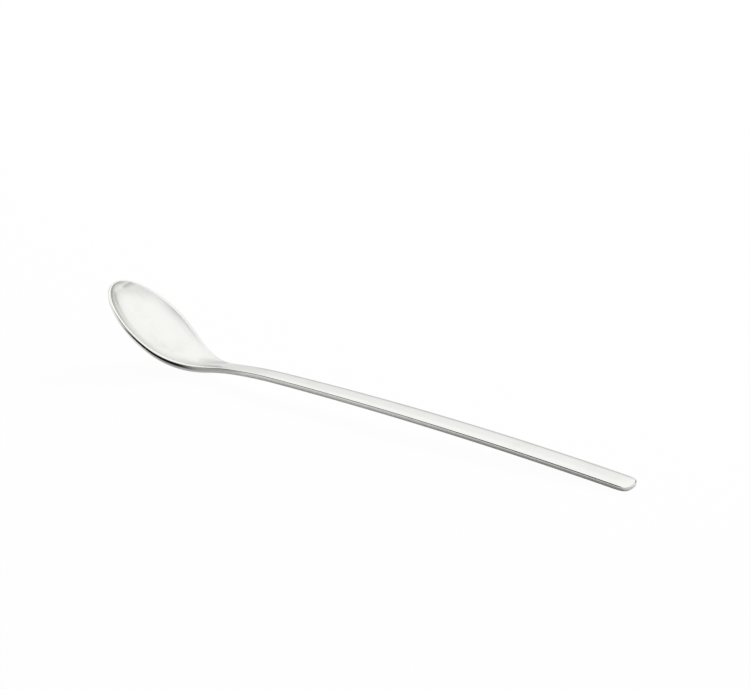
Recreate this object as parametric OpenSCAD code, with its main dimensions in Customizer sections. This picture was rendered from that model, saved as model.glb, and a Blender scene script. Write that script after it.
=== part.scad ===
// Iced tea spoon: a deep, turned-up bowl on a long, slightly arched handle of polished steel.
// The spoon is one smooth loft, cut at the neck into the pressed bowl and the bar of the handle.
// It follows the edge line, which is the rim of the bowl and then the upper edges of the handle.
// Places are measured along that line from the tip, and sections stand square to it.
// The finished spoon lies on a table, on its belly and on the end of its handle.

/* [Bowl] */
// Greatest width of the bowl
bowl_w = 24.8; // [20:0.1:30]
// From the tip to the widest place of the rim
tip_len = 20; // [16:0.5:24]
// From the widest place to where the rim's own curve would close
flank_len = 41; // [36:0.5:46]
// Depth of the hollow below the rim
bowl_depth = 6.7; // [4:0.1:8]
// From the tip to the deepest place of the hollow
deep_at = 18.7; // [15:0.1:22]
// From the deepest place to where the hollow runs out in the neck
hollow_run = 36; // [30:0.5:40]
// Thickness of the bowl's wall
wall_t = 1.25; // [0.8:0.05:2]
// Width of the flat rim, between its rounded edge and the hollow
rim_flat = 0.15; // [0.1:0.05:0.6]
// Angle between the rim and the line of the handle, in degrees
bowl_tilt = 35; // [15:0.5:42]

/* [Neck] */
// From the tip to where the handle's taper starts
neck_at = 50; // [46:0.5:54]
// Width of the handle's taper at its start
neck_w = 5; // [3.5:0.1:6]
// From the tip to where the rim starts to bend into the neck
bend_from = 23.5; // [18:0.5:28]
// Length of that bend
bend_len = 28; // [22:0.5:34]
// Angle by which the neck climbs above the line of the handle, in degrees
neck_rise = 5; // [0:0.5:8]
// Length over which the neck settles into the line of the handle
settle_len = 23.5; // [12:0.5:34]
// From the tip to the seam between the bowl and the handle
seam_at = 60; // [56:0.5:66]

/* [Handle] */
// Length of the handle's taper
handle_len = 152.1; // [120:0.1:180]
// Width of the handle near its end
end_w = 8.2; // [7:0.1:10]
// Thickness of the handle at its edges
handle_t = 1.9; // [1.4:0.05:2.6]
// Height of the crown along the middle of its upper side, near its end
handle_crown = 0.2; // [0:0.05:0.5]
// Length over which the handle's end closes, seen from above
end_len = 5; // [2:0.1:8]
// Angle that the arch of the handle turns through, in degrees
handle_arch = 5.8; // [2:0.1:10]

/* [Edges] */
// Rounding of the rim, as a share of half its thickness
rim_round_share = 0.8; // [0.2:0.05:0.9]
// Rounding of the neck's edges, as a share of half its thickness
neck_round_share = 0.3; // [0.1:0.05:0.9]
// Rounding of the handle's edges at its end, as a share of half its thickness
end_round_share = 0.7; // [0.1:0.05:0.9]

/* [Hidden] */
// Rounding near the tip, as the greatest share of the half width that it takes up
tip_round_share = 0.9;
// Least share of a section's flat top that lies between its two rims
hollow_share = 0.5;
// The hollow starts with a blunt end, as wide as an ellipse is this far from its own end
hollow_start = 0.02;
// Fullness of the bowl's section: 2 is a parabola, more is flatter below and steeper at the rim
dish_power = 2.5;
// Fullness of the crown's section: more is flatter along the middle and falls off nearer to the edges
crown_power = 4;
// Tightness of the fillet where the bowl's outline runs into the handle's
join_power = 3.4;
// Squareness of the handle's end: 2 is half an ellipse, more is nearer to a straight cut
end_power = 3.2;
// The end closes with a small flat face, this many degrees round from its sides
end_turn = 86;
// Flat strips across the bowl, across the handle, and round each edge
bowl_strips = 24;
handle_strips = 12;
round_strips = 3;
// Sections in the rim at the tip, from there to the widest place, from there to the seam, along the
// handle, and round its end
rim_sections = 3;
tip_sections = 16;
flank_sections = 26;
handle_sections = 26;
end_sections = 10;
// Steps in which the edge line is added up
line_steps = 800;

total_len = neck_at + handle_len;
rim_w = rim_flat + rim_round_share*wall_t/2;

// From 0 to 1, starting and ending level
function ease(t) = let (u = min(max(t, 0), 1)) u*u*(3 - 2*u);

// From 0 to 1, as a quarter of an ellipse that starts upright
function quarter(t) = sqrt(max(0, 1 - pow(1 - min(t, 1), 2)));

// From 1 to 0, as half a cosine wave
function fade(t) = (1 + cos(180*min(max(t, 0), 1)))/2;

// The larger of two widths, with a fillet where they cross
function soft_max(a, b) = pow(pow(a, join_power) + pow(b, join_power), 1/join_power);

// How far along the handle a place is, from 0 to 1
function along(s) = min(max((s - neck_at)/handle_len, 0), 1);

// Slope of the edge line in degrees: the turned-up rim, the climbing neck, then the arch
function bent(s) = ease((s - bend_from)/bend_len);
function settled(s) = ease((s - bend_from - bend_len)/settle_len);
function slope(s) = neck_rise*(bent(s) - settled(s)) - bowl_tilt*(1 - bent(s)) - handle_arch*along(s);

// Half width of the bowl's outline, of the handle's taper, and of the spoon
function bowl_half(s) =
    bowl_w/2*(s < tip_len ? quarter(s/tip_len) : fade((s - tip_len)/flank_len));
function taper_half(s) = neck_w/2 + (end_w - neck_w)/2*along(s)*(2 - along(s));
function closed(s) =
    let (past = min(max((s - total_len)/end_len + 1, 0), 1)) pow(1 - pow(past, end_power), 1/end_power);
function into_neck(s) = ease((s - tip_len)/(neck_at - tip_len));
function half_w(s) = soft_max(bowl_half(s), taper_half(s)*into_neck(s))*closed(s);

// Half width of the flat top between the rounded edges, and of the hollow, which is set in by the rim
function flat_half(s) = half_w(s) - edge_r(s);
function hollow_half(s) =
    s < rim_w ? hollow_share*flat_half(s) :
    s < tip_len ? (bowl_w/2 - rim_w)*quarter(max(s - rim_w, hollow_start)/(tip_len - rim_w)) :
    max(flat_half(s) - rim_flat, hollow_share*flat_half(s));

// Thickness at the edges, depth of the belly and of the hollow below their edges, height of the
// handle's crown above its own, and radius of the rounded edges
function thick(s) = wall_t + (handle_t - wall_t)*into_neck(s);
function dished(s, start) =
    bowl_depth*(s < deep_at ? quarter((s - start)/(deep_at - start)) : fade((s - deep_at)/hollow_run));
function crowned(s) = handle_crown*pow(2*half_w(s)/end_w, 2)*ease((s - neck_at)/settle_len);
function round_share(s) =
    rim_round_share + (neck_round_share - rim_round_share)*into_neck(s)
    + (end_round_share - neck_round_share)*along(s);
function edge_r(s) = min(round_share(s)*thick(s)/2, tip_round_share*half_w(s));

// Curve across a half width: a dish down to its depth, with a crown up to its height
function dish(w, depth, crown, strips) = [
    for (i = [0 : strips])
    let (v = 2*i/strips - 1)
    [w*v, depth*(pow(abs(v), dish_power) - 1) + crown*(1 - pow(abs(v), crown_power))]
];

// Upper side of a section from edge to edge, across it and up from the edge line: a rounded edge,
// the flat rim, the hollow or the crown, the rim and the other edge
function arc_angles() = [for (i = [0 : round_strips - 1]) 90*(1 - i/round_strips)];
function upper(s, strips) =
    let (r = edge_r(s), w = flat_half(s))
    let (round = [for (a = arc_angles()) [w + r*sin(a), r*cos(a) - r]], edge = concat(round, [[w, 0]]))
    concat(
        [for (p = edge) [-p[0], p[1]]],
        dish(hollow_half(s), dished(s, rim_w), crowned(s), strips),
        [for (i = [round_strips : -1 : 0]) edge[i]]);

// Lower side of a section, which has as many points
function lower(s, strips) =
    let (r = edge_r(s), w = flat_half(s), t = thick(s))
    let (edge = [for (a = arc_angles()) [w + r*sin(a), r - r*cos(a) - t]])
    concat(
        [for (p = edge) [-p[0], p[1]]],
        [for (p = dish(w, dished(s, 0), 0, strips + 2)) [p[0], p[1] - t]],
        [for (i = [round_strips - 1 : -1 : 0]) edge[i]]);

// The edge line, added up in short steps as [place, distance along, height]
step_len = total_len/line_steps;
edge_line = [
    for (i = 0, x = 0, z = 0;
         i <= line_steps;
         x = x + step_len*cos(slope((i + 0.5)*step_len)),
         z = z + step_len*sin(slope((i + 0.5)*step_len)),
         i = i + 1)
    [i*step_len, x, z]
];
line_x = [for (p = edge_line) [p[0], p[1]]];
line_z = [for (p = edge_line) [p[0], p[2]]];

// A point of the side view, at a height above the edge line and square to it
function side_point(s, above) =
    [lookup(s, line_x) - above*sin(slope(s)), lookup(s, line_z) + above*cos(slope(s))];

// Places of the sections, closer together at the tip and round the handle's end
bowl_places = concat(
    [for (i = [1 : rim_sections]) rim_w*pow(i/(rim_sections + 1), 2)],
    [for (i = [0 : tip_sections]) rim_w + (tip_len - rim_w)*(1 - cos(90*i/tip_sections))],
    [for (i = [1 : flank_sections]) tip_len + (seam_at - tip_len)*i/flank_sections]);
handle_places = concat(
    [for (i = [0 : handle_sections]) seam_at + (total_len - end_len - seam_at)*i/handle_sections],
    [for (i = [1 : end_sections]) total_len - end_len*(1 - pow(sin(end_turn*i/end_sections), 2/end_power))]);
end_at = handle_places[len(handle_places) - 1];

// The spoon is turned until its belly and its end lie level, on the point where the end rests
belly = [for (s = bowl_places) side_point(s, -thick(s) - dished(s, 0))];
heel = side_point(end_at, -thick(end_at));
rest_angle = min([for (p = belly) atan2(p[1] - heel[1], heel[0] - p[0])]);
function rested(p) = [
    cos(rest_angle)*(p[0] - heel[0]) - sin(rest_angle)*(p[1] - heel[1]),
    sin(rest_angle)*(p[0] - heel[0]) + cos(rest_angle)*(p[1] - heel[1])
];
front_x = min([for (p = belly) rested(p)[0]]);
back_x = max([for (above = [0, -thick(end_at)]) rested(side_point(end_at, above))[0]]);
middle_x = (front_x + back_x)/2;

// A point of the section at a place, in the frame of the spoon at rest
function placed(s, p) =
    let (q = rested(side_point(s, p[1]))) [q[0] - middle_x, p[0], q[1]];

// A closed solid through the sections at the given places, with a flat face at both ends
module loft(places, strips) {
    half_count = strips + 3 + 2*round_strips;
    count = 2*half_count;
    last = (len(places) - 1)*count;
    points = [
        for (s = places)
        each concat(
            [for (p = upper(s, strips)) placed(s, p)],
            [for (i = [half_count - 1 : -1 : 0]) placed(s, lower(s, strips)[i])])
    ];
    skin = [
        for (k = [0 : len(places) - 2], i = [0 : count - 1])
        let (a = k*count + i, b = k*count + (i + 1) % count)
        each [[a, a + count, b], [b, a + count, b + count]]
    ];
    caps = [
        for (i = [0 : half_count - 2])
        let (a = i, b = i + 1, c = count - 2 - i, d = count - 1 - i)
        each [[a, b, c], [a, c, d], [last + a, last + c, last + b], [last + a, last + d, last + c]]
    ];
    polyhedron(points, concat(skin, caps));
}

// Pressed bowl with the stub of its neck
module bowl() {
    color("silver") loft(bowl_places, bowl_strips);
}

// Tapered, arched bar with a rounded end
module handle() {
    color("gainsboro") loft(handle_places, handle_strips);
}

bowl();
handle();
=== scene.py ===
"""Dresses the iced tea spoon: bowl and handle as smooth polished steel, on a white table."""

import logging
import math
from collections.abc import Mapping, Sequence
from dataclasses import dataclass, field
from enum import Enum
from typing import Any

import bpy
import numpy as np
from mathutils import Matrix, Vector


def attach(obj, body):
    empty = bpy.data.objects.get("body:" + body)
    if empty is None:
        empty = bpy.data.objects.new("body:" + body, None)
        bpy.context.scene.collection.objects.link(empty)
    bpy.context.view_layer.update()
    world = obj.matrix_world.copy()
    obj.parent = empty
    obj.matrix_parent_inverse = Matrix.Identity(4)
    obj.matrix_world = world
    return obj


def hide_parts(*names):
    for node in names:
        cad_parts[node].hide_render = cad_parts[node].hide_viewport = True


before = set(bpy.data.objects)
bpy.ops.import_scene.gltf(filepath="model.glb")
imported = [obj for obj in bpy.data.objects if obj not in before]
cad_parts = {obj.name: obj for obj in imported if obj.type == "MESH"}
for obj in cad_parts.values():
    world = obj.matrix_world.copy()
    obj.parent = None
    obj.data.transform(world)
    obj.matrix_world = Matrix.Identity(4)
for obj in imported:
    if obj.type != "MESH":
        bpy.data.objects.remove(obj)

LOG = logging.getLogger("iced_tea_spoon")
MM = 0.001
WHITE = (1.0, 1.0, 1.0, 1.0)
Pair = tuple[float, float]
Span = tuple[float, float]
Triple = tuple[float, float, float]


class Ending(Enum):
    """How a run of rings ends: drawn together to a pole, or cut off square at the seam."""

    POLE = "pole"
    SEAM = "seam"


def ease(t: np.ndarray) -> np.ndarray:
    """Goes from 0 to 1 as u*u*(3 - 2u), with u held between 0 and 1.

    Args:
        t: Where along the change each value lies.

    Returns:
        The eased values.
    """
    u = np.clip(t, 0.0, 1.0)
    return u * u * (3.0 - 2.0 * u)


def quarter(t: np.ndarray) -> np.ndarray:
    """Goes from 0 to 1 as a quarter of an ellipse, sqrt(1 - (1 - t)^2), which starts upright.

    Args:
        t: Where along the ellipse's axis each value lies.

    Returns:
        The heights of the ellipse.
    """
    return np.sqrt(np.maximum(0.0, 1.0 - (1.0 - np.minimum(t, 1.0)) ** 2))


def fade(t: np.ndarray) -> np.ndarray:
    """Goes from 1 to 0 as half a cosine wave, (1 + cos(pi t))/2.

    Args:
        t: Where along the wave each value lies, held between 0 and 1.

    Returns:
        The heights of the wave.
    """
    return (1.0 + np.cos(np.pi * np.clip(t, 0.0, 1.0))) / 2.0


@dataclass(frozen=True)
class SpoonSizes:
    """Sizes of the spoon in millimetres and degrees, the same as those of its solids.

    Places are measured along the edge line from the tip: the rim of the bowl, then the upper edges
    of the handle.
    """

    bowl_w: float = 24.8
    tip_len: float = 20.0
    flank_len: float = 41.0
    bowl_depth: float = 6.7
    deep_at: float = 18.7
    hollow_run: float = 36.0
    wall_t: float = 1.25
    rim_flat: float = 0.15
    bowl_tilt: float = 35.0
    neck_at: float = 50.0
    neck_w: float = 5.0
    bend_from: float = 23.5
    bend_len: float = 28.0
    neck_rise: float = 5.0
    settle_len: float = 23.5
    seam_at: float = 60.0
    handle_len: float = 152.1
    end_w: float = 8.2
    handle_t: float = 1.9
    handle_crown: float = 0.2
    end_len: float = 5.0
    handle_arch: float = 5.8
    rim_round: float = 0.8
    neck_round: float = 0.3
    end_round: float = 0.7
    dish_power: float = 2.5
    crown_power: float = 4.0
    join_power: float = 3.4
    end_power: float = 3.2

    @property
    def total_len(self) -> float:
        """Length of the edge line from the tip to the end of the handle."""
        return self.neck_at + self.handle_len

    @property
    def rim_w(self) -> float:
        """Width of the rim, from the bowl's outline to its hollow: its rounding and then its flat."""
        return self.rim_flat + self.rim_round * self.wall_t / 2.0


class SpoonForm:
    """The spoon's form: the edge line in side view, and width, thickness and depth along it."""

    LINE_POINTS = 8001
    BELLY_POINTS = 1501

    def __init__(self, sizes: SpoonSizes) -> None:
        """Adds up the edge line and lays the spoon on its belly and on the end of its handle.

        Args:
            sizes: The spoon's sizes.
        """
        self.sizes = sizes
        grid = np.linspace(0.0, sizes.total_len, self.LINE_POINTS)
        step = grid[1]
        turn = np.radians(self.slope(grid[:-1] + step / 2.0))
        self._grid = grid
        self._x = np.concatenate(([0.0], np.cumsum(step * np.cos(turn))))
        self._z = np.concatenate(([0.0], np.cumsum(step * np.sin(turn))))
        end = np.array([sizes.total_len])
        self._heel = np.concatenate(self._side(end, -self.thick(end)))
        places = np.linspace(0.0, sizes.seam_at, self.BELLY_POINTS)
        x, z = self._side(places, -self.thick(places) - self.dished(places, 0.0))
        self._rest = float(np.min(np.arctan2(z - self._heel[1], self._heel[0] - x)))
        front = self._rested(x, z)[0].min()
        edges = (0.0 * end, -self.thick(end))
        back = max(self._rested(*self._side(end, above))[0].max() for above in edges)
        self._middle = (front + back) / 2.0

    def along(self, place: np.ndarray) -> np.ndarray:
        """How far along the handle each place is, from 0 to 1."""
        return np.clip((place - self.sizes.neck_at) / self.sizes.handle_len, 0.0, 1.0)

    def slope(self, place: np.ndarray) -> np.ndarray:
        """Slope of the edge line: the turned-up rim eases into the climbing neck and the arch.

        Args:
            place: Places along the edge line.

        Returns:
            The slopes in degrees.
        """
        z = self.sizes
        bent = ease((place - z.bend_from) / z.bend_len)
        settled = ease((place - z.bend_from - z.bend_len) / z.settle_len)
        tilted = z.neck_rise * (bent - settled) - z.bowl_tilt * (1.0 - bent)
        return tilted - z.handle_arch * self.along(place)

    def into_neck(self, place: np.ndarray) -> np.ndarray:
        """How far each place is from the bowl's widest place into the neck, eased from 0 to 1."""
        return ease((place - self.sizes.tip_len) / (self.sizes.neck_at - self.sizes.tip_len))

    def half_width(self, place: np.ndarray) -> np.ndarray:
        """Half the width, without the rounded corners of the handle's end.

        The bowl is a quarter ellipse and then half a cosine wave. The handle is a taper that slows
        down. Both are joined by (a^p + b^p)^(1/p), which leaves a fillet where they cross.

        Args:
            place: Places along the edge line.

        Returns:
            The half widths.
        """
        z = self.sizes
        tip, flank = quarter(place / z.tip_len), fade((place - z.tip_len) / z.flank_len)
        bowl = np.where(place < z.tip_len, tip, flank)
        along = self.along(place)
        taper = z.neck_w / 2.0 + (z.end_w - z.neck_w) / 2.0 * along * (2.0 - along)
        first, second = z.bowl_w / 2.0 * bowl, taper * self.into_neck(place)
        return (first ** z.join_power + second ** z.join_power) ** (1.0 / z.join_power)

    def thick(self, place: np.ndarray) -> np.ndarray:
        """Thickness of the wall, which grows into that of the handle along the neck."""
        return self.sizes.wall_t + (self.sizes.handle_t - self.sizes.wall_t) * self.into_neck(place)

    def dished(self, place: np.ndarray, start: float | np.ndarray) -> np.ndarray:
        """Depth of a dish along its middle: a quarter ellipse down, then half a cosine wave up.

        Args:
            place: Places along the edge line.
            start: Place where the dish starts, near the tip.

        Returns:
            The depths.
        """
        z = self.sizes
        down = quarter((place - start) / (z.deep_at - start))
        up = fade((place - z.deep_at) / z.hollow_run)
        return z.bowl_depth * np.where(place < z.deep_at, down, up)

    def crowned(self, place: np.ndarray, half: np.ndarray) -> np.ndarray:
        """Height of the handle's crown above its edges, which grows with the square of the width.

        Args:
            place: Places along the edge line.
            half: Half widths there.

        Returns:
            The heights.
        """
        z = self.sizes
        grown = ease((place - z.neck_at) / z.settle_len)
        return z.handle_crown * (2.0 * half / z.end_w) ** 2 * grown

    def outward(self, place: np.ndarray, reach: float = 0.01) -> np.ndarray:
        """Unit normals (along, across) of the outline seen from above, (-w', 1)/sqrt(1 + w'^2).

        Args:
            place: Places along the edge line.
            reach: Half the distance over which the slope w' is taken.

        Returns:
            One normal a place.
        """
        rise = (self.half_width(place + reach) - self.half_width(place - reach)) / (2.0 * reach)
        return np.stack([-rise, np.ones_like(rise)], axis=-1) / np.hypot(rise, 1.0)[:, None]

    def edge_round(self, place: np.ndarray) -> np.ndarray:
        """Radius of the rounded edges: a share of half the thickness, least at the neck.

        Args:
            place: Places along the edge line.

        Returns:
            The radii.
        """
        z = self.sizes
        share = z.rim_round + (z.neck_round - z.rim_round) * self.into_neck(place)
        share = share + (z.end_round - z.neck_round) * self.along(place)
        return share * self.thick(place) / 2.0

    def _side(self, place: np.ndarray, above: np.ndarray) -> tuple[np.ndarray, np.ndarray]:
        """Points of the side view, at heights above the edge line and square to it.

        Args:
            place: Places along the edge line.
            above: Heights above it.

        Returns:
            X and Z in the side view.
        """
        turn = np.radians(self.slope(place))
        x = np.interp(place, self._grid, self._x) - above * np.sin(turn)
        return x, np.interp(place, self._grid, self._z) + above * np.cos(turn)

    def _rested(self, x: np.ndarray, z: np.ndarray) -> tuple[np.ndarray, np.ndarray]:
        """Points of the side view turned by the rest angle about the heel of the handle's end.

        Args:
            x: X in the side view.
            z: Z in the side view.

        Returns:
            X and Z of the spoon at rest.
        """
        c, s = math.cos(self._rest), math.sin(self._rest)
        dx, dz = x - self._heel[0], z - self._heel[1]
        return c * dx - s * dz, s * dx + c * dz

    def points(self, place: np.ndarray, across: np.ndarray, above: np.ndarray) -> np.ndarray:
        """Puts points given by place, distance across and height above into the part's frame.

        Args:
            place: Places along the edge line.
            across: Distances from the middle, towards +Y.
            above: Heights above the edge line.

        Returns:
            The points in metres, with X, Y and Z last.
        """
        x, z = self._rested(*self._side(place, above))
        return np.stack([x - self._middle, across + 0.0 * x, z], axis=-1) * MM


@dataclass(frozen=True)
class Outline:
    """One side of a piece's outline from above, with its unit normals (along, across)."""

    place: np.ndarray
    half: np.ndarray
    normal: np.ndarray
    first: Ending
    last: Ending


@dataclass
class SteelPiece:
    """A closed surface of polished steel, made of rings along an outline.

    Each ring runs over the upper side, round one edge, back over the lower side and round the other
    edge. The edges are one profile, carried along the outline and set out square to it, so that they
    turn with the tip and with the end of the handle.
    """

    name: str
    node: str
    form: SpoonForm
    strips: int
    rim_strips: int = 4
    round_strips: int = 8
    seam_strip: float = 0.05
    hollow_from: float = 0.25
    body: str = "root"
    slot: str = "polished_steel"

    def outline(self) -> Outline:
        """The piece's outline, which each kind of piece gives."""
        raise NotImplementedError

    def _edge(self, line: Outline) -> tuple[np.ndarray, np.ndarray]:
        """The edge's profile: the flat rim, a quarter circle, the upright wall, a quarter circle.

        Args:
            line: The outline that carries it.

        Returns:
            Distances in from the outline and heights above the edge line, one row an outline point.
        """
        radius = self.form.edge_round(line.place)[:, None]
        thick = self.form.thick(line.place)[:, None]
        t = np.linspace(0.0, 1.0, self.rim_strips + 1)[None, :]
        turn = np.linspace(0.0, np.pi / 2.0, self.round_strips + 1)[None, :]
        rim_in = radius + self.form.sizes.rim_flat * (1.0 - t)
        inward = [rim_in[:, :-1], radius * (1.0 - np.sin(turn)), radius * (1.0 - np.cos(turn))]
        lower = radius * (1.0 - np.sin(turn)) - thick
        height = [0.0 * rim_in[:, :-1], radius * (np.cos(turn) - 1.0), lower]
        return np.concatenate(inward, axis=1), np.concatenate(height, axis=1)

    def _rings(self, line: Outline) -> tuple[np.ndarray, np.ndarray]:
        """All rings as (place, across, above), and the share of the half width at each point.

        A dish is a surface over its own outline: at each place its depth times (1 - |v|^p), with v
        from -1 to 1. The crown of the upper side is one too, upwards and with a power of its own.

        Args:
            line: The piece's outline.

        Returns:
            The rings, with shape (rings, points, 3), and the shares, with shape (rings, points).
        """
        form, z = self.form, self.form.sizes
        inward, height = self._edge(line)
        edge_place = line.place[:, None] - inward * line.normal[:, :1]
        edge_across = np.maximum(line.half[:, None] - inward * line.normal[:, 1:], 0.0)
        v = np.linspace(-1.0, 1.0, self.strips + 1)[None, 1:-1]
        curve = np.abs(v) ** z.dish_power - 1.0
        top_place, low_place = edge_place[:, :1] + 0.0 * v, edge_place[:, -1:] + 0.0 * v
        crown = form.crowned(line.place, line.half)[:, None] * (1.0 - np.abs(v) ** z.crown_power)
        top = form.dished(edge_place[:, :1], z.rim_w) * curve + crown
        low_start = edge_place[0, -1] if line.first is Ending.POLE else 0.0
        low = form.dished(edge_place[:, -1:], low_start) * curve
        place = [top_place, edge_place, low_place, edge_place[:, ::-1]]
        across = [
            edge_across[:, :1] * v,
            edge_across,
            -edge_across[:, -1:] * v,
            -edge_across[:, ::-1],
        ]
        above = [top, height, low - form.thick(line.place)[:, None], height[:, ::-1]]
        rows = np.ones_like(line.place)[:, None]
        share = [rows * v, np.ones_like(inward), -rows * v, -np.ones_like(inward)]
        rings = np.stack([np.concatenate(part, axis=1) for part in (place, across, above)], axis=-1)
        return rings, np.concatenate(share, axis=1)

    def _pole_index(self, edge_count: int) -> np.ndarray:
        """Which point stands for each point of a ring at a pole, where edges and dishes meet.

        Args:
            edge_count: Points of one edge's profile.

        Returns:
            Indices into the ring.
        """
        inner = self.strips - 1
        edge = np.arange(inner, inner + edge_count)
        top = np.full(inner, edge[0])
        low = np.full(inner, edge[-1])
        return np.concatenate([top, edge, low, edge[::-1]])

    def build(self) -> bpy.types.Object:
        """Makes the piece's mesh: triangles between rings, poles drawn together, seams capped.

        Returns:
            The object, at the origin, with its grain map and its share of hollow at each point.
        """
        line = self.outline()
        rings, share = self._rings(line)
        count, width = share.shape
        edge_count = (width - 2 * (self.strips - 1)) // 2
        index = np.arange(count * width).reshape(count, width)
        for row, ending in ((0, line.first), (-1, line.last)):
            if ending is Ending.POLE:
                index[row] = index[row][self._pole_index(edge_count)]
        a, d = index[:-1], index[1:]
        b, c = np.roll(a, -1, axis=1), np.roll(d, -1, axis=1)
        halves = [np.stack(half, axis=-1).reshape(-1, 3) for half in ((a, d, b), (b, d, c))]
        triangles = np.concatenate(halves)
        first, second, third = triangles.T
        triangles = triangles[(first != second) & (second != third) & (first != third)]
        used, faces = np.unique(triangles, return_inverse=True)
        faces = faces.reshape(-1, 3)
        renumber = np.full(count * width, -1)
        renumber[used] = np.arange(used.size)
        caps = []
        if line.first is Ending.SEAM:
            caps.append(renumber[index[0]].tolist())
        if line.last is Ending.SEAM:
            caps.append(renumber[index[-1]][::-1].tolist())
        flat = rings.reshape(-1, 3)[used]
        points = self.form.points(flat[:, 0], flat[:, 1], flat[:, 2])
        mesh = bpy.data.meshes.new(self.name)
        mesh.from_pydata(points.tolist(), [], faces.tolist() + caps)
        smooth = np.ones(len(mesh.polygons), dtype=bool)
        smooth[len(faces):] = False
        mesh.polygons.foreach_set("use_smooth", smooth)
        across = share.reshape(-1)[used] * self.form.sizes.bowl_w / 2.0
        grain = np.stack([across, flat[:, 0]], axis=-1)
        loop_points = np.empty(len(mesh.loops), dtype=np.int32)
        mesh.loops.foreach_get("vertex_index", loop_points)
        mesh.uv_layers.new(name="grain").data.foreach_set("uv", grain[loop_points].ravel())
        depth = self.form.dished(flat[:, 0], 0.0) / self.form.sizes.bowl_depth
        upper = (used % width < self.strips - 1) * np.minimum(1.0, depth / self.hollow_from)
        mesh.attributes.new("hollow", "FLOAT", "POINT").data.foreach_set("value", upper)
        mesh.validate()
        mesh.update()
        piece = bpy.data.objects.new(self.name, mesh)
        bpy.context.scene.collection.objects.link(piece)
        return piece

    def dress(self, piece: bpy.types.Object, material: bpy.types.Material) -> None:
        """Gives the piece its finish and ties it to the solid that it stands for.

        Args:
            piece: The object that build() made.
            material: Its finish.
        """
        piece.data.materials.append(material)
        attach(piece, self.body)
        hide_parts(self.node)


@dataclass
class Bowl(SteelPiece):
    """The pressed bowl with its rim and the stub of the neck."""

    tip_rings: int = 64
    flank_rings: int = 104

    def outline(self) -> Outline:
        """From the tip, at equal angles of its ellipse, and then at equal steps to the seam.

        Returns:
            The outline.
        """
        z = self.form.sizes
        turn = np.linspace(0.0, np.pi / 2.0, self.tip_rings + 1)
        round_tip = np.stack([-z.bowl_w / 2.0 * np.cos(turn), z.tip_len * np.sin(turn)], axis=-1)
        round_tip /= np.linalg.norm(round_tip, axis=1)[:, None]
        flank = np.linspace(z.tip_len, z.seam_at, self.flank_rings + 1)[1:]
        flank = np.insert(flank, -1, z.seam_at - self.seam_strip)
        place = np.concatenate([z.tip_len * (1.0 - np.cos(turn)), flank])
        normal = np.concatenate([round_tip, self.form.outward(flank)])
        return Outline(place, self.form.half_width(place), normal, Ending.POLE, Ending.SEAM)


@dataclass
class Handle(SteelPiece):
    """The tapered, arched bar with its rounded end."""

    bar_rings: int = 150
    end_rings: int = 30

    def outline(self) -> Outline:
        """Equal steps from the seam, then a superellipse: cos^(2/m) across, sin^(2/m) along.

        Returns:
            The outline.
        """
        z = self.form.sizes
        bar = np.linspace(z.seam_at, z.total_len - z.end_len, self.bar_rings + 1)
        bar = np.insert(bar, 1, z.seam_at + self.seam_strip)
        half = self.form.half_width(bar)
        turn = np.linspace(0.0, np.pi / 2.0, self.end_rings + 1)[1:]
        sine, cosine = np.sin(turn), np.append(np.cos(turn[:-1]), 0.0)
        flat = 2.0 / z.end_power
        end = np.stack([bar[-1] + z.end_len * sine ** flat, half[-1] * cosine ** flat], axis=-1)
        steep = 2.0 - flat
        closing = np.stack([sine ** steep / z.end_len, cosine ** steep / half[-1]], axis=-1)
        closing /= np.linalg.norm(closing, axis=1)[:, None]
        return Outline(
            np.concatenate([bar, end[:, 0]]),
            np.concatenate([half, end[:, 1]]),
            np.concatenate([self.form.outward(bar), closing]),
            Ending.SEAM,
            Ending.POLE,
        )


class Shade:
    """A number that varies over a surface or a sky: an output socket with arithmetic."""

    def __init__(self, graph: "NodeGraph", socket: bpy.types.NodeSocket) -> None:
        """Wraps a socket.

        Args:
            graph: The graph that holds it.
            socket: The output socket.
        """
        self.graph = graph
        self.socket = socket

    def _math(self, operation: str, first: Any, second: Any) -> "Shade":
        """Adds one Math node for an operation on two values."""
        node = self.graph.add("ShaderNodeMath", {"operation": operation}, {0: first, 1: second})
        return self.graph.out(node)

    def __add__(self, other: Any) -> "Shade":
        """Sum."""
        return self._math("ADD", self, other)

    def __radd__(self, other: Any) -> "Shade":
        """Sum with a number first."""
        return self._math("ADD", other, self)

    def __sub__(self, other: Any) -> "Shade":
        """Difference."""
        return self._math("SUBTRACT", self, other)

    def __rsub__(self, other: Any) -> "Shade":
        """Difference from a number."""
        return self._math("SUBTRACT", other, self)

    def __mul__(self, other: Any) -> "Shade":
        """Product."""
        return self._math("MULTIPLY", self, other)

    def __rmul__(self, other: Any) -> "Shade":
        """Product with a number first."""
        return self._math("MULTIPLY", other, self)

    def __neg__(self) -> "Shade":
        """Negative."""
        return self._math("MULTIPLY", self, -1.0)

    def at_least(self, other: Any) -> "Shade":
        """The larger of two values."""
        return self._math("MAXIMUM", self, other)

    def step(self, low: float, high: float) -> "Shade":
        """Eases from 0 at low to 1 at high.

        Args:
            low: Value where the change starts.
            high: Value where it ends.

        Returns:
            The eased value.
        """
        settings = {"interpolation_type": "SMOOTHSTEP", "clamp": True}
        inputs = {"Value": self, "From Min": low, "From Max": high, "To Min": 0.0, "To Max": 1.0}
        return self.graph.out(self.graph.add("ShaderNodeMapRange", settings, inputs))


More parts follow.
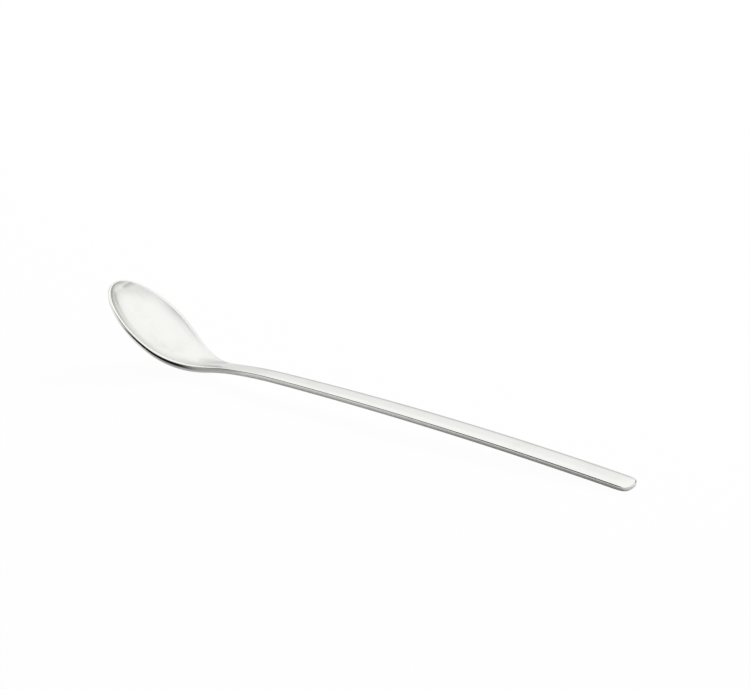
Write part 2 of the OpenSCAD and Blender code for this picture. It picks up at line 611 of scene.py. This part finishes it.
class NodeGraph:
    """A node tree that is written as expressions."""

    def __init__(self, tree: bpy.types.NodeTree) -> None:
        """Empties a tree.

        Args:
            tree: The tree to fill.
        """
        self.tree = tree
        tree.nodes.clear()

    def add(
        self,
        kind: str,
        settings: Mapping[str, Any] | None = None,
        inputs: Mapping[int | str, Any] | None = None,
    ) -> bpy.types.Node:
        """Adds one node of any type.

        Args:
            kind: The node's type.
            settings: Its settings, which are set first.
            inputs: Values, sockets or shades for its input sockets, by name or number.

        Returns:
            The node.
        """
        node = self.tree.nodes.new(kind)
        for key, value in (settings or {}).items():
            setattr(node, key, value)
        for key, value in (inputs or {}).items():
            source = value.socket if isinstance(value, Shade) else value
            if isinstance(source, bpy.types.NodeSocket):
                self.tree.links.new(source, node.inputs[key])
            else:
                node.inputs[key].default_value = source
        return node

    def out(self, node: bpy.types.Node, name: int | str = 0) -> Shade:
        """One output of a node as a shade.

        Args:
            node: The node.
            name: The output's name or number.

        Returns:
            The shade.
        """
        return Shade(self, node.outputs[name])

    def noise(
        self, vector: bpy.types.NodeSocket, scale: float, detail: float, roughness: float
    ) -> Shade:
        """Noise between 0 and 1 on a vector.

        Args:
            vector: The coordinates.
            scale: Waves to a unit of them.
            detail: Octaves.
            roughness: Share that each octave keeps.

        Returns:
            The noise.
        """
        inputs = {"Vector": vector, "Scale": scale, "Detail": detail, "Roughness": roughness}
        return self.out(self.add("ShaderNodeTexNoise", None, inputs), 0)

    def stretched(
        self, vector: bpy.types.NodeSocket, scale: Sequence[float]
    ) -> bpy.types.NodeSocket:
        """Coordinates times a scale along each axis.

        Args:
            vector: The coordinates.
            scale: The three scales.

        Returns:
            The scaled coordinates.
        """
        inputs = {"Vector": vector, "Scale": tuple(scale)}
        return self.add("ShaderNodeMapping", None, inputs).outputs[0]


@dataclass(frozen=True)
class PolishedSteel:
    """Stainless steel polished to a mirror, with lines along the spoon, ripples and dull patches.

    The hollow of the bowl, which is the hardest to polish, is a little rougher. A noise is given by
    its octaves and the share that each keeps. Over its span it rises from no effect to its full one.
    """

    name: str = "polished_steel"
    pale: Triple = (0.857, 0.861, 0.836)
    dull: Triple = (0.792, 0.80, 0.765)
    grazing: float = 0.86
    roughness: float = 0.045
    hollow_roughness: float = 0.18
    lines_a_mm: float = 5.0
    line_length_mm: float = 18.0
    line_noise: Pair = (3.0, 0.6)
    line_span: Span = (0.42, 0.72)
    line_roughness: float = 0.07
    line_everywhere: float = 0.35
    line_tint: float = 0.3
    line_depth: float = 0.0000006
    patch_mm: float = 7.0
    patch_noise: Pair = (2.0, 0.5)
    patch_span: Span = (0.45, 0.75)
    patch_roughness: float = 0.06
    patch_tint: float = 0.6
    ripple_mm: float = 9.0
    ripple_noise: Pair = (1.0, 0.4)
    ripple_depth: float = 0.000012

    def material(self) -> bpy.types.Material:
        """Makes the material.

        Returns:
            The material.
        """
        material = bpy.data.materials.new(self.name)
        material.use_nodes = True
        graph = NodeGraph(material.node_tree)
        place = graph.add("ShaderNodeTexCoord").outputs["Object"]
        grain = graph.add("ShaderNodeUVMap", {"uv_map": "grain"}).outputs[0]
        along = graph.stretched(grain, (self.lines_a_mm, 1.0 / self.line_length_mm, 1.0))
        lines = graph.noise(along, 1.0, *self.line_noise)
        patches = graph.noise(place, 1.0 / (self.patch_mm * MM), *self.patch_noise)
        ripple = graph.noise(place, 1.0 / (self.ripple_mm * MM), *self.ripple_noise)
        fine = lines.step(*self.line_span)
        worn = patches.step(*self.patch_span)
        hollow = graph.out(graph.add("ShaderNodeAttribute", {"attribute_name": "hollow"}), "Fac")
        scratched = fine * (self.line_everywhere + (1.0 - self.line_everywhere) * worn)
        rough = self.roughness + self.line_roughness * scratched + self.patch_roughness * worn
        rough = rough + self.hollow_roughness * hollow
        dulled = self.patch_tint * worn + self.line_tint * fine
        tint = graph.add(
            "ShaderNodeMix",
            {"data_type": "RGBA"},
            {"Factor": dulled, 6: (*self.pale, 1.0), 7: (*self.dull, 1.0)},
        )
        height = ripple * (self.ripple_depth / self.line_depth) + lines
        bump = graph.add(
            "ShaderNodeBump", None, {"Strength": 1.0, "Distance": self.line_depth, "Height": height}
        )
        surface = graph.add(
            "ShaderNodeBsdfPrincipled",
            None,
            {
                "Base Color": tint.outputs[2],
                "Metallic": 1.0,
                "Roughness": rough,
                "Specular Tint": (self.grazing, self.grazing, self.grazing, 1.0),
                "Normal": bump.outputs[0],
            },
        )
        graph.add("ShaderNodeOutputMaterial", None, {"Surface": surface.outputs[0]})
        return material


@dataclass(frozen=True)
class SkyPatch:
    """A dim patch of the sky that the steel mirrors.

    Each limit is an axis and the two sines between which the patch fades in along it, so that its
    edges are soft.
    """

    taken: float
    limits: tuple[tuple[Triple, float, float], ...]

    def leaves(self, way: Sequence[Shade]) -> Shade:
        """Share of the sky's light that the patch leaves: 1 - taken * product of eased limits.

        Args:
            way: The X, Y and Z of the direction in which the sky is seen.

        Returns:
            The share.
        """
        depth: Shade | float = self.taken
        for axis, low, high in self.limits:
            parts = [value * part for value, part in zip(way, axis) if part]
            along = sum(parts[1:], parts[0])
            depth = depth * along.step(low, high)
        return 1.0 - depth


# Directions as the patches use them: the handle points right, and the camera is at the front right.
RIGHT, LEFT = (1.0, 0.0, 0.0), (-1.0, 0.0, 0.0)
BACK, FRONT = (0.0, 1.0, 0.0), (0.0, -1.0, 0.0)
FRONT_LEFT, BACK_LEFT = (-0.53, -0.848, 0.0), (-0.57, 0.82, 0.0)
BACK_MIDDLE = (0.10, 0.995, 0.0)
DOWN = (0.0, 0.0, -1.0)

MIRRORED_ROOM: dict[str, SkyPatch] = {
    # Darkens the near edges of the rim and the handle, and the inside of the far wall.
    "dark_front": SkyPatch(
        0.97,
        ((FRONT_LEFT, 0.47, 0.88), (DOWN, -0.78, -0.50), (RIGHT, -0.80, -0.60)),
    ),
    # Adds to the dark line along the handle's outer half and to the inside of the far wall.
    "high_card": SkyPatch(
        0.97,
        ((LEFT, 0.18, 0.30), (RIGHT, -0.57, -0.45), (FRONT, 0.10, 0.30), (DOWN, -0.74, -0.58)),
    ),
    # Draws the grey line along the far edge of the handle.
    "dim_back": SkyPatch(
        0.72,
        ((BACK_LEFT, 0.10, 0.70), (DOWN, -0.34, 0.0), (RIGHT, -0.66, -0.58)),
    ),
    # Greys the inside of the near wall, most of all by the tip.
    "back_post": SkyPatch(
        0.78,
        ((BACK_MIDDLE, 0.84, 0.97), (DOWN, -0.66, -0.30)),
    ),
    # Greys the heel, where the hollow runs out into the neck.
    "dim_left": SkyPatch(
        0.28,
        ((LEFT, 0.60, 0.72), (BACK, 0.05, 0.25), (FRONT, -0.60, -0.45), (DOWN, -0.75, -0.55)),
    ),
}


@dataclass
class Studio:
    """A white table in a bright room, with soft light from behind.

    The camera sees table and room as white. The steel mirrors the table with the spoon's shadow on
    it, a black painted shadow before the belly, a little painted shade beside the outer handle, a
    painted glow under the bowl and white further away, and a sky that is bright above and dim in
    patches at its sides. A span holds the places or heights between which a change is eased.
    """

    floor_colour: Triple = (0.93, 0.93, 0.92)
    floor_mirrored: Triple = (0.82, 0.82, 0.81)
    floor_unlit: Triple = (0.02, 0.02, 0.02)
    floor_half: float = 3.0
    floor_seen: float = 0.97
    white_mirrored: float = 0.89
    white_front: Span = (0.025, 0.050)
    white_back: Span = (-0.005, 0.0)
    # white_under and under_left place painted light: the mirrored table glows white under the bowl.
    white_under: Span = (-0.005, 0.012)
    under_left: Span = (0.035, 0.050)
    # The unlit spans place a painted shadow: a black patch on the mirrored table before the belly.
    unlit_first: float = 0.5
    unlit_left: Span = (0.050, 0.057)
    unlit_full: Span = (0.0585, 0.066)
    unlit_end: Span = (0.105, 0.135)
    unlit_front: Span = (0.008, 0.013)
    # Painted shade: the mirrored table is made a little darker beside the outer handle.
    shade: float = 0.17
    shade_right: Span = (0.0, 0.040)
    lamp_size: Pair = (0.7, 0.3)
    lamp_place: Triple = (0.10, 0.95, 0.55)
    lamp_power: float = 13.5
    room: float = 0.38
    sky_low: float = 0.93
    sky_gain: float = 0.17
    sky_rise: Span = (0.2, 0.6)

    def _mirrored_table(self, graph: NodeGraph) -> tuple[bpy.types.Node, Shade]:
        """The table as the steel shows it.

        It is pale, black before the belly as a painted shadow, a little darker beside the outer
        handle as painted shade, and glows white behind the spoon, under the bowl as painted light in
        the spoon's shadow, and further off in front.

        Args:
            graph: The table's graph.

        Returns:
            The shader of its pale part, its painted shadow and its painted shade, and the share of
            white glow over it.
        """
        pale = graph.add("ShaderNodeBsdfDiffuse", None, {"Color": (*self.floor_mirrored, 1.0)})
        # Painted shadow: a near-black table colour that only reflections see, laid before the belly.
        unlit = graph.add("ShaderNodeBsdfDiffuse", None, {"Color": (*self.floor_unlit, 1.0)})
        place = graph.add("ShaderNodeTexCoord").outputs["Object"]
        spot = graph.add("ShaderNodeSeparateXYZ", None, {0: place})
        right, left, front = graph.out(spot, 0), -graph.out(spot, 0), -graph.out(spot, 1)
        # Mask of the painted shadow before the belly.
        first = self.unlit_first * left.step(*self.unlit_left)
        rest = (1.0 - self.unlit_first) * left.step(*self.unlit_full)
        dark = (first + rest) * (1.0 - left.step(*self.unlit_end)) * front.step(*self.unlit_front)
        # Adds the painted shade beside the outer handle to the painted shadow's mask.
        shaded = dark.at_least(self.shade * right.step(*self.shade_right))
        behind = 1.0 - front.step(*self.white_back)
        # Painted light: the table glows white under the bowl, where the spoon's shadow falls, so the
        # belly mirrors it bright.
        under = (1.0 - front.step(*self.white_under)) * left.step(*self.under_left)
        white = front.step(*self.white_front).at_least(behind).at_least(under)
        shader = graph.add(
            "ShaderNodeMixShader", None, {0: shaded, 1: pale.outputs[0], 2: unlit.outputs[0]}
        )
        return shader, white * (1.0 - dark)

    def floor(self) -> bpy.types.Object:
        """Makes the table: pale to the light that falls on it, and white to the camera.

        Returns:
            The floor.
        """
        h = self.floor_half
        mesh = bpy.data.meshes.new("table")
        square = [(-h, -h, 0.0), (h, -h, 0.0), (h, h, 0.0), (-h, h, 0.0)]
        mesh.from_pydata(square, [], [(0, 1, 2, 3)])
        table = bpy.data.objects.new("table", mesh)
        bpy.context.scene.collection.objects.link(table)
        material = bpy.data.materials.new("white_table")
        material.use_nodes = True
        graph = NodeGraph(material.node_tree)
        path = graph.add("ShaderNodeLightPath")
        seen = graph.out(path, "Is Camera Ray") + graph.out(path, "Is Transmission Ray")
        glossy = graph.out(path, "Is Glossy Ray")
        cloth = graph.add("ShaderNodeBsdfDiffuse", None, {"Color": (*self.floor_colour, 1.0)})
        mirrored, away = self._mirrored_table(graph)
        lit = graph.add(
            "ShaderNodeMixShader", None, {0: glossy, 1: cloth.outputs[0], 2: mirrored.outputs[0]}
        )
        white = graph.add("ShaderNodeEmission", None, {"Color": WHITE, "Strength": 1.0})
        share = self.floor_seen * seen + self.white_mirrored * (glossy * away)
        both = graph.add(
            "ShaderNodeMixShader", None, {0: share, 1: lit.outputs[0], 2: white.outputs[0]}
        )
        graph.add("ShaderNodeOutputMaterial", None, {"Surface": both.outputs[0]})
        mesh.materials.append(material)
        return table

    def lamps(self) -> None:
        """Sets one soft lamp behind the table: its shadow falls forwards, and it isn't mirrored."""
        light = bpy.data.lights.new("back_lamp", "AREA")
        light.shape = "RECTANGLE"
        light.size, light.size_y = self.lamp_size
        light.energy = self.lamp_power
        lamp = bpy.data.objects.new("back_lamp", light)
        lamp.location = self.lamp_place
        lamp.rotation_euler = Vector(self.lamp_place).to_track_quat("Z", "Y").to_euler()
        lamp.visible_glossy = False
        bpy.context.scene.collection.objects.link(lamp)

    def sky(self) -> None:
        """Lights the room: white to the camera, even to the table, dim in patches to mirrored rays.

        The mirrored level is (low + gain * eased height) times what each patch leaves.
        """
        world = bpy.data.worlds.new("room")
        bpy.context.scene.world = world
        world.use_nodes = True
        graph = NodeGraph(world.node_tree)
        path = graph.add("ShaderNodeLightPath")
        plain = graph.out(path, "Is Camera Ray") + graph.out(path, "Is Transmission Ray")
        glossy = graph.out(path, "Is Glossy Ray")
        toward = graph.add("ShaderNodeTexCoord").outputs["Generated"]
        split = graph.add("ShaderNodeSeparateXYZ", None, {0: toward})
        way = [graph.out(split, axis) for axis in range(3)]
        mirrored = self.sky_low + self.sky_gain * way[2].step(*self.sky_rise)
        for patch in MIRRORED_ROOM.values():
            mirrored = mirrored * patch.leaves(way)
        other = (1.0 - plain - glossy).at_least(0.0)
        strength = plain + glossy * mirrored + other * self.room
        back = graph.add("ShaderNodeBackground", None, {"Color": WHITE, "Strength": strength})
        graph.add("ShaderNodeOutputWorld", None, {"Surface": back.outputs[0]})


@dataclass(frozen=True)
class PhotoCamera:
    """The camera where the photograph was taken from, worked out from the spoon's outline in it."""

    azimuth: float = 35.07
    elevation: float = 21.543
    distance: float = 0.9234
    target: Triple = (0.00581, 0.0, 0.02462)
    lens: float = 143.9
    sensor: float = 36.0
    near_clip: float = 0.01

    def place(self) -> bpy.types.Object:
        """Makes the camera and gives it to the scene.

        Returns:
            The camera.
        """
        az, el = math.radians(self.azimuth), math.radians(self.elevation)
        back = Vector((math.sin(az) * math.cos(el), -math.cos(az) * math.cos(el), math.sin(el)))
        data = bpy.data.cameras.new("photo_camera")
        data.sensor_fit = "HORIZONTAL"
        data.sensor_width = self.sensor
        data.lens = self.lens
        data.clip_start = self.near_clip
        camera = bpy.data.objects.new("photo_camera", data)
        camera.location = Vector(self.target) + self.distance * back
        camera.rotation_euler = back.to_track_quat("Z", "Y").to_euler()
        bpy.context.scene.collection.objects.link(camera)
        bpy.context.scene.camera = camera
        return camera


@dataclass
class Spoon:
    """The whole spoon: its form, its finish and its two pieces."""

    form: SpoonForm = field(default_factory=lambda: SpoonForm(SpoonSizes()))
    finish: PolishedSteel = field(default_factory=PolishedSteel)

    def pieces(self) -> list[SteelPiece]:
        """The two pieces in the order in which they are built."""
        return [
            Bowl("spoon_bowl", "bowl", self.form, strips=96),
            Handle("spoon_handle", "handle", self.form, strips=32),
        ]

    def make(self) -> None:
        """Builds and dresses each piece."""
        steel = self.finish.material()
        for part in self.pieces():
            piece = part.build()
            part.dress(piece, steel)
            LOG.info("%s: %d faces for node %s", piece.name, len(piece.data.polygons), part.node)


def main() -> None:
    """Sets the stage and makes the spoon."""
    logging.basicConfig(level=logging.INFO, format="%(name)s %(message)s")
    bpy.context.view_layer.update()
    bpy.context.scene.view_settings.view_transform = "Standard"
    PhotoCamera().place()
    studio = Studio()
    studio.floor()
    studio.lamps()
    studio.sky()
    Spoon().make()
    bpy.context.view_layer.update()


if __name__ == "__main__":
    main()
